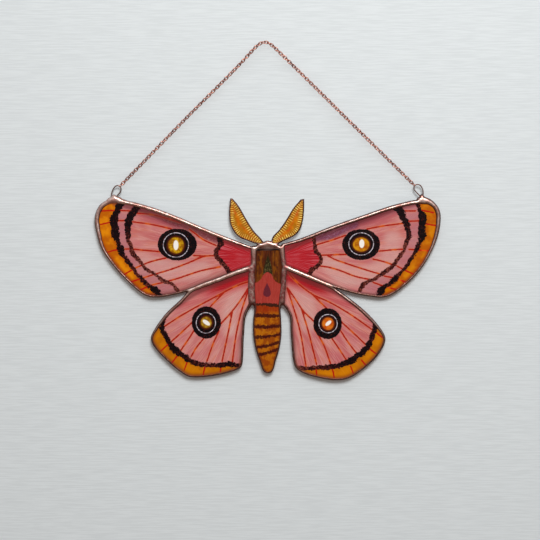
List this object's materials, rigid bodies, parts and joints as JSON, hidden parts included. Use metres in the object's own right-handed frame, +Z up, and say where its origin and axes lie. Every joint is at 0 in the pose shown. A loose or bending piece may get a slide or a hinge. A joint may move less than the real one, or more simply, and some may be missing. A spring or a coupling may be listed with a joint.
{
  "type": "stained glass moth suncatcher on a chain",
  "caption": "Stained glass moth of painted panes in copper foil and solder, hung from two wire loops by a fine chain.",
  "frame": {"origin": "on the nail that carries the chain, at the underside of the chain's crown", "axes": "+Z up, +X to the right as the moth is seen from the front, -Y out of its painted front face"},
  "size_m": [0.23, 0.005, 0.2257],
  "materials": {
    "pink_glass": "glossy, painted, translucent",
    "amber_glass": "glossy, streaky, translucent",
    "body_glass": "glossy, painted, translucent",
    "solder": "polished, copper tinted",
    "copper": "polished"
  },
  "bodies": {
    "root": {"left_forewing_glass": "pink_glass", "right_forewing_glass": "pink_glass", "left_hindwing_glass": "pink_glass", "right_hindwing_glass": "pink_glass", "body_glass": "body_glass", "left_antenna_glass": "amber_glass", "right_antenna_glass": "amber_glass", "left_forewing_edging": "solder", "right_forewing_edging": "solder", "left_hindwing_edging": "solder", "right_hindwing_edging": "solder", "body_edging": "solder", "left_antenna_edging": "solder", "right_antenna_edging": "solder", "neck_solder": "solder", "left_hanging_loop": "solder", "right_hanging_loop": "solder", "left_chain": "copper", "right_chain": "copper", "chain_crown": "copper"}
  },
  "joints": []
}
